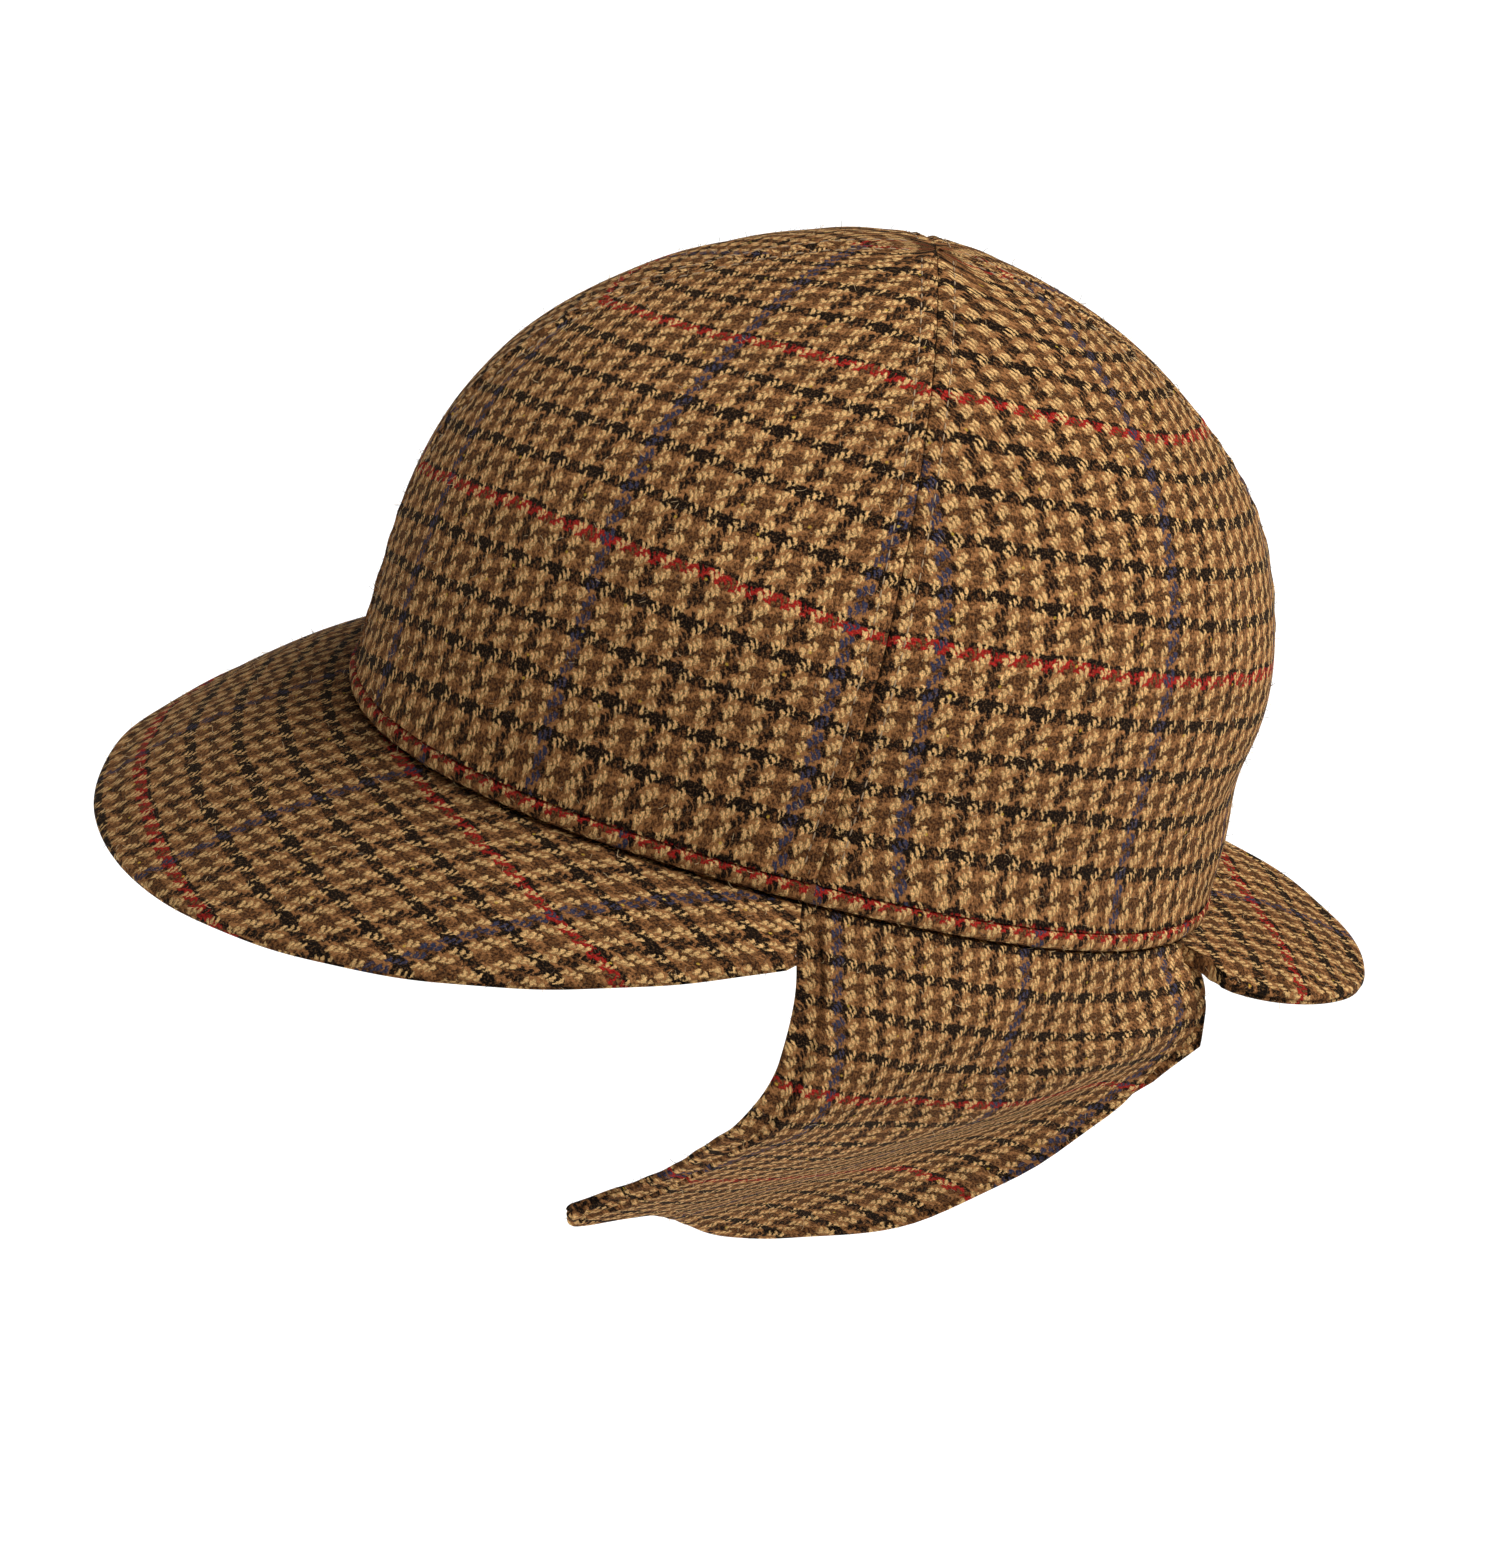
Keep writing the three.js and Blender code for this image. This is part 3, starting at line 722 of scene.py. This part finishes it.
for name, shape in peak_shapes.items():
    clear = math.degrees(piece_gap / crown_half_width)
    turns = np.linspace(shape["from"] + clear, shape["to"] - clear, shape["columns"] + 1)
    outs = np.linspace(0, 1, shape["rows"] + 1)
    outs = np.concatenate([[-1, -0.5], outs])
    out_grid, turn_grid = np.meshgrid(outs, turns, indexing="ij")
    angle = np.radians(turn_grid)
    middle = (shape["from"] + shape["to"]) / 2
    across = np.clip(np.abs((turn_grid - middle) / ((shape["to"] - shape["from"]) / 2)), 0, 1)
    fullness = 1 - across ** 2
    depth = shape["end"] + (shape["depth"] - shape["end"]) * fullness ** shape["taper"]
    droop = np.radians(shape["end_droop"] + (shape["droop"] - shape["end_droop"]) * fullness)
    run = np.maximum(out_grid, 0) * (depth - 1.2)
    arch = shape["camber"] * np.sin(np.pi * np.maximum(out_grid, 0)) * depth / shape["depth"]
    outward = seam_outward(angle)
    tucked = np.minimum(out_grid, 0) * (roll_depth - roll_proud)
    ripple = (
        0.35 * np.sin(angle * 9 + run / 14) * smooth(run / 25)
        + 0.2 * np.sin(angle * 23 - run / 9) * smooth(run / 20)
    )
    pull = -0.35 * bell(run - depth + 5, 1.4)
    places = (
        seam_point(angle)
        + outward * (run * np.cos(droop) + tucked)[..., None]
        + np.array([0, 0, 1]) * (arch - piece_gap - 0.1 - run * np.sin(droop))[..., None]
    )
    normals = grid_normals(places)
    normals = normals * np.sign(normals[..., 2:3])
    normals[:3] = normals[3]
    normals[:2] = np.array([0, 0, 1])
    tangent = np.stack([-outward[..., 1], outward[..., 0], 0 * angle], axis=-1)
    normals = normals - tangent * (normals * tangent).sum(-1, keepdims=True)
    normals = normals / np.linalg.norm(normals, axis=-1, keepdims=True)
    outer = places + normals * ((ripple + pull) * (out_grid > 0))[..., None]
    thickness = peak_thickness * (0.8 + 0.2 * smooth((depth - run) / 9))
    inner = outer - normals * thickness[..., None]
    bulge = np.where(out_grid > 0.999, peak_thickness * 0.5, 0.0)

    # The cut laid flat: the seam's curve opens out by the droop, and runs are at right
    # angles to it. The cloth's threads are straight lines on that.
    line = seam_point(np.radians(turns))
    steps = np.linalg.norm(np.diff(line[:, :2], axis=0), axis=-1)
    heading = np.unwrap(np.arctan2(np.diff(line[:, 1]), np.diff(line[:, 0])))
    bend = np.diff(heading) * np.cos(droop[-1])[1:-1]
    centre = len(turns) // 2
    flat_heading = np.concatenate([[0], np.cumsum(bend)])
    flat_heading = flat_heading - flat_heading[centre] + heading[centre]
    flat = np.concatenate([[[0, 0]], np.cumsum(
        np.stack([np.cos(flat_heading), np.sin(flat_heading)], axis=-1) * steps[:, None], axis=0,
    )])
    flat = flat - flat[centre]
    at_points = np.interp(np.arange(len(turns)), np.arange(len(steps)) + 0.5, flat_heading)
    sideways = np.stack([np.sin(at_points), -np.cos(at_points)], axis=-1)
    laid = flat[None] + sideways[None] * (run + tucked)[..., None]
    grain = math.radians(shape["grain"])
    laid = laid @ np.array([[math.cos(grain), math.sin(grain)], [-math.sin(grain), math.cos(grain)]])
    laid[..., 1] -= shape["bow"] * laid[..., 0] ** 2
    weave = (laid + np.array(shape["start"])) / np.array([warp_pitch, weft_pitch]) + 1
    made = cloth_piece(name, outer, inner, weave, bulge, peak_tweed)
    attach(made, "root")
    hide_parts(name)
    hairy_pieces.append((made, "peak_tweed"))

# Ear flaps: two layers of tweed with thin padding between, sewn into the seam between
# the peaks and left to hang. The left one curls in under the hat and forwards.
flap_thickness = 4.6
flap_length = 160.0
ear_turn, nape_turn = -0.8, 64.7
flap_start = -0.35
flap_nape_gap = 1.6
flap_rear_bow = 9.0
flap_grid = {"down": 110, "along": 96}
flap_tweed = tweed("flap_tweed", 1.0)
flap_warp_pitch = 0.80
flap_weft_pitch = 0.905
flap_weave_start = {"along": -56, "down": 44.3}
side_groove = {"depth": 1.6, "from_edge": 4.0, "spread": 0.6}
hem_groove = {"depth": 0.5, "from_edge": 4.2, "spread": 0.9}
turned_depth = 1.5
# Share of the seam's run against the cloth's length below it, as a share of flap_length
flap_hem = (
    (0.00, 0.872), (0.05, 0.910), (0.10, 0.915), (0.16, 0.875), (0.22, 0.850),
    (0.30, 0.872), (0.41, 0.905), (0.56, 0.938), (0.66, 0.932), (0.76, 0.872),
    (0.86, 0.734), (0.92, 0.538), (0.96, 0.315), (1.00, 0.135),
)
# The front edge, against a line straight down the cloth: shares of flap_length
flap_edge = (
    (0.000, 0.000), (0.125, 0.003), (0.250, -0.024), (0.375, -0.045),
    (0.500, -0.006), (0.625, 0.052), (0.750, 0.103), (0.870, 0.130),
)
# Directions that the cloth takes at the front and rear edges, and where it turns
flap_hangs = {
    "ear_flap_left": {
        "side": 1,
        "hang": (0.113, 0.288, -0.951), "hang_rear": (0.113, 0.288, -0.951),
        "sweep": (-0.437, -0.660, -0.624), "sweep_rear": (-0.014, 0.003, -0.098),
        "turns_at": 0.154, "lag": 0.441, "turning": 0.287,
        "billow": (0.205, 0.935, 0.290), "billow_size": 0.76,
    },
    "ear_flap_right": {
        "side": -1,
        "hang": (0.260, 0.520, -0.760), "hang_rear": (0.420, -0.134, -0.865),
        "sweep": (-0.826, 0.126, -0.523), "sweep_rear": (-0.827, -0.307, -0.484),
        "turns_at": 0.334, "lag": 0.202, "turning": 0.356,
        "billow": (0.0, 0.0, 0.0), "billow_size": 0.0,
    },
}
billow_at, billow_lag, billow_run = 0.454, 0.591, 0.084


def between(front, rear, share):
    way = np.array(front) * (1 - share) + np.array(rear) * share
    return way / np.linalg.norm(way, axis=-1, keepdims=True)


def curve_through(table, values):
    """Smooth curve through a table's rows."""
    xs = np.array([row[0] for row in table])
    ys = np.array([row[1] for row in table])
    last = len(xs) - 1
    before = np.maximum(np.arange(len(xs)) - 1, 0)
    after = np.minimum(np.arange(len(xs)) + 1, last)
    slopes = (ys[after] - ys[before]) / (xs[after] - xs[before])
    k = np.clip(np.searchsorted(xs, values, side="right") - 1, 0, last - 1)
    span = xs[k + 1] - xs[k]
    s = np.clip((values - xs[k]) / span, 0, 1)
    ends = ys[k] + (ys[k + 1] - ys[k]) * smooth(s)
    inside = ends + span * (slopes[k] * s * (1 - s) ** 2 - slopes[k + 1] * s * s * (1 - s))
    return inside + slopes[-1] * np.maximum(values - xs[last], 0)


for name, hangs in flap_hangs.items():
    turns = np.radians(np.linspace(ear_turn, nape_turn + 6, 261))
    line = seam_point(turns)
    runs = np.concatenate([[0], np.cumsum(np.linalg.norm(np.diff(line, axis=0), axis=-1))])
    width = np.interp(math.radians(nape_turn), turns, runs)
    rows = np.linspace(0, 1, flap_grid["down"] + 1)
    columns = np.linspace(0, 1, flap_grid["along"] + 1)
    down_share, share = np.meshgrid(
        crowded(rows, 0.5),
        crowded(columns, 0.75),
        indexing="ij",
    )
    down = flap_length * curve_through(flap_hem, share) * down_share
    front = flap_length * curve_through(flap_edge, down / flap_length)
    back = flap_rear_bow * smooth(down / 9) * (1 - smooth((down - 12) / 28)) * share ** 8
    along = flap_start + (width - flap_start - flap_nape_gap) * share + front * (1 - share) + back
    angle = np.interp(along, runs, turns) + np.minimum(along, 0) / crown_half_length
    places = seam_point(angle) - np.array([0, 0, piece_gap])
    rear = np.clip(along / width, 0, 1)[..., None]
    hang = between(hangs["hang"], hangs["hang_rear"], rear)
    sweep = between(hangs["sweep"], hangs["sweep_rear"], rear)
    steps = 60
    lag = along / flap_length
    widened = 1 + 1.3 * (1 - smooth(rear[..., 0] / 0.35))
    for k in range(steps):
        s = (k + 0.5) / steps * down / flap_length
        turned = smooth((s - hangs["turns_at"] + hangs["lag"] * lag) / hangs["turning"])[..., None]
        swell = bell(s - billow_at + billow_lag * lag, billow_run * widened) / widened
        pushed = hangs["billow_size"] * swell[..., None]
        way = hang * (1 - turned) + sweep * turned + np.array(hangs["billow"]) * pushed
        places = places + way / np.linalg.norm(way, axis=-1, keepdims=True) * (down / steps)[..., None]
    normals = grid_normals(places)
    normals[0, :, 2] = 0
    normals[0] = normals[0] / np.linalg.norm(normals[0], axis=-1, keepdims=True)
    hem_distance = flap_length * curve_through(flap_hem, share) - down
    edge_distance = np.minimum(hem_distance, np.minimum(share, 1 - share) * width)
    thickness = flap_thickness * (0.86 + 0.14 * smooth(edge_distance / 7))
    puckers = 0.16 * np.sin(along / 2.1 + down / 3.7) * bell(edge_distance - 3, 4) * smooth(down / 12)
    soft = (
        0.5 * np.sin(along / 15 + down / 24) * smooth(down / 30)
        + 0.25 * np.sin(down / 7 - along / 11) * smooth(down / 30)
    )
    side_distance = np.minimum(share, 1 - share) * width
    turned_edge = turned_depth * (1 - smooth(side_distance / 5)) * smooth(down / 9)
    turned_edge = turned_edge * smooth(hem_distance / 14)
    pressed = (
        side_groove["depth"] * smooth(down / 9)
        * bell(side_distance - side_groove["from_edge"], side_groove["spread"])
        + hem_groove["depth"] * bell(hem_distance - hem_groove["from_edge"], hem_groove["spread"])
    )
    outer = places + normals * (puckers + soft - pressed - turned_edge)[..., None]
    inner = places + normals * (puckers + soft - thickness)[..., None]
    mirror = np.array([hangs["side"], 1, 1])
    weave = np.stack([
        (along * hangs["side"] + flap_weave_start["along"]) / flap_warp_pitch + 1,
        (flap_weave_start["down"] - down) / flap_weft_pitch + 1,
    ], axis=-1)
    bulge = np.where(down_share > 0, flap_thickness * 0.5 * smooth(down / 6), 0.0)
    made = cloth_piece(name, outer * mirror, inner * mirror, weave, bulge, flap_tweed)
    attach(made, "root")
    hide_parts(name)
    hairy_pieces.append((made, "flap_tweed"))

# Stray wool: fine pale and dark hairs that stand out of the tweed, bent over and set at
# random with fixed seeds, in one pale and one dark layer on each of the nine pieces.
hair_length = 1.7
hair_thickness = 0.10
hairs_per_square_metre = 22000
hair_colours = {"pale_wool": (0.62, 0.43, 0.22, 1), "dark_wool": (0.07, 0.04, 0.025, 1)}
for number, (colour_name, colour) in enumerate(hair_colours.items()):
    hair_material = bpy.data.materials.new(colour_name)
    hair_material.use_nodes = True
    hair_shader = hair_material.node_tree.nodes["Principled BSDF"]
    hair_shader.inputs["Base Color"].default_value = colour
    hair_shader.inputs["Roughness"].default_value = 0.6
    hair_tree, hair_names, entry, leave = modifier_tree(colour_name, ["Density", "Length", "Thickness"])
    scattered = joined(
        hair_tree, "GeometryNodeDistributePointsOnFaces",
        {"Mesh": entry.outputs["Geometry"], "Density": entry.outputs["Density"], "Seed": 7 + number},
    )
    spun = joined(
        hair_tree, "FunctionNodeRandomValue",
        {0: (-1.2, -1.2, 0.0), 1: (1.2, 1.2, 2 * math.pi), "Seed": 3 + number},
        {"data_type": "FLOAT_VECTOR"},
    )
    leaning = joined(
        hair_tree, "FunctionNodeRotateRotation",
        {0: scattered.outputs["Rotation"], 1: spun.outputs[0]}, {"rotation_space": "LOCAL"},
    )
    grown = joined(
        hair_tree, "FunctionNodeRandomValue",
        {2: 0.45, 3: 1.25, "Seed": 11 + number}, {"data_type": "FLOAT"},
    )
    arc = joined(
        hair_tree, "GeometryNodeCurveArc",
        {"Resolution": 5, "Radius": entry.outputs["Length"], "Start Angle": -0.6, "Sweep Angle": 1.3},
    )
    section_ring = joined(
        hair_tree, "GeometryNodeCurvePrimitiveCircle",
        {"Resolution": 3, "Radius": entry.outputs["Thickness"]},
    )
    strand_body = joined(
        hair_tree, "GeometryNodeCurveToMesh", {0: arc.outputs[0], 1: section_ring.outputs[0]},
    )
    upright = joined(
        hair_tree, "GeometryNodeTransform",
        {0: strand_body.outputs[0], "Rotation": (math.pi / 2, 0.0, 0.0)},
    )
    to_root = joined(hair_tree, "ShaderNodeCombineXYZ", {0: -0.00165, 1: 0.0, 2: 0.0003})
    rooted = joined(
        hair_tree, "GeometryNodeTransform", {0: upright.outputs[0], "Translation": to_root.outputs[0]},
    )
    planted = joined(
        hair_tree, "GeometryNodeInstanceOnPoints",
        {
            "Points": scattered.outputs["Points"], "Instance": rooted.outputs[0],
            "Rotation": leaning.outputs[0], "Scale": grown.outputs[1],
        },
    )
    real = joined(hair_tree, "GeometryNodeRealizeInstances", {0: planted.outputs[0]})
    coated = joined(hair_tree, "GeometryNodeSetMaterial", {0: real.outputs[0]})
    coated.inputs["Material"].default_value = hair_material
    hair_tree.links.new(coated.outputs[0], leave.inputs[0])
    for piece, slot in hairy_pieces:
        holder = bpy.data.objects.new("hair_bed", piece.data)
        bpy.context.collection.objects.link(holder)
        modifier = holder.modifiers.new("hairs", "NODES")
        modifier.node_group = hair_tree
        modifier[hair_names["Density"]] = float(hairs_per_square_metre)
        modifier[hair_names["Length"]] = hair_length * 0.001
        modifier[hair_names["Thickness"]] = hair_thickness / 2 * 0.001
        hairs = baked(holder, f"{colour_name}_{piece.name}")
        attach(hairs, "root")
